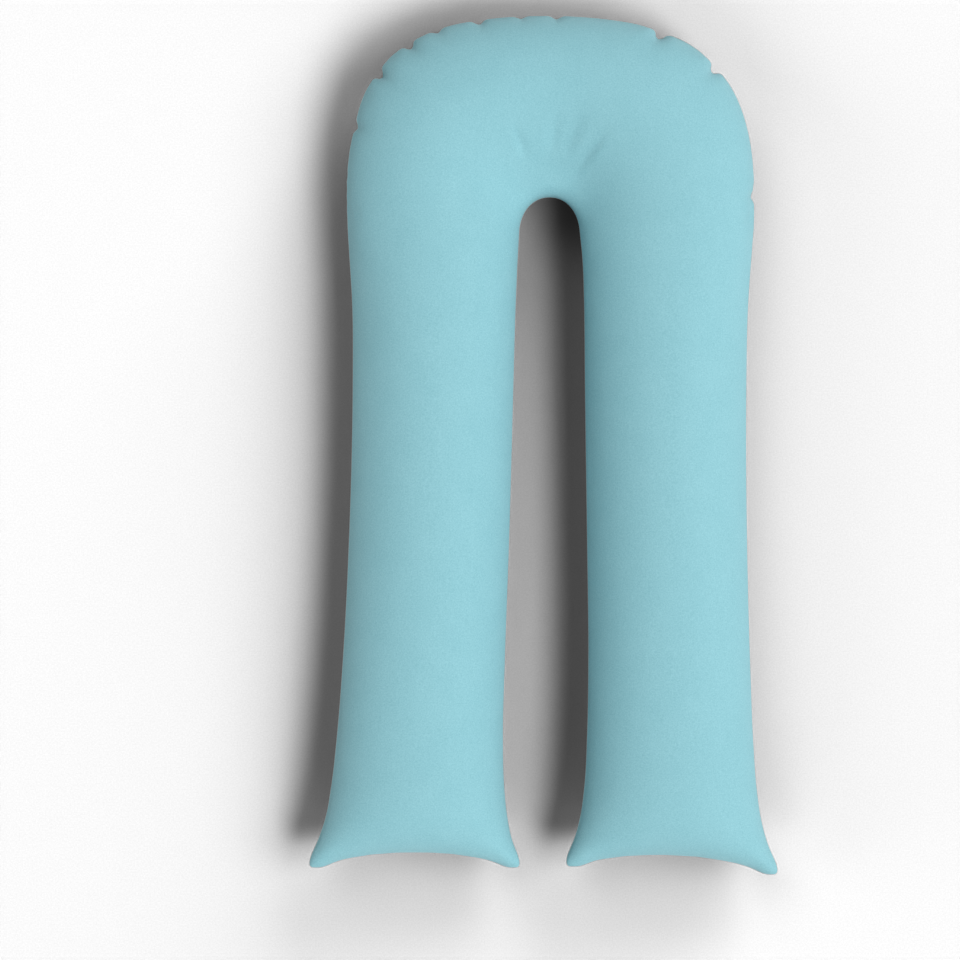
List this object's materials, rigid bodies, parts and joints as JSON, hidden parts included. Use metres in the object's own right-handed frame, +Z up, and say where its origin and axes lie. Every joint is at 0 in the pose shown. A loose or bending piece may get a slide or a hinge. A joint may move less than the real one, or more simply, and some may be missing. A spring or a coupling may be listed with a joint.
{
  "type": "body pillow",
  "caption": "Long U-shaped body pillow: a filled tube of plain cloth that turns back on itself in a wide bend, with flat-sewn leg ends.",
  "frame": {"origin": "under the middle of the pillow's bounding box, on the surface it rests on", "axes": "+Z up out of the resting flat, +Y from the open leg ends towards the bend, +X across both legs"},
  "size_m": [0.7884, 1.451, 0.1803],
  "materials": {
    "cover_cloth": "matte"
  },
  "bodies": {
    "root": {"pillow": "cover_cloth"}
  },
  "joints": []
}
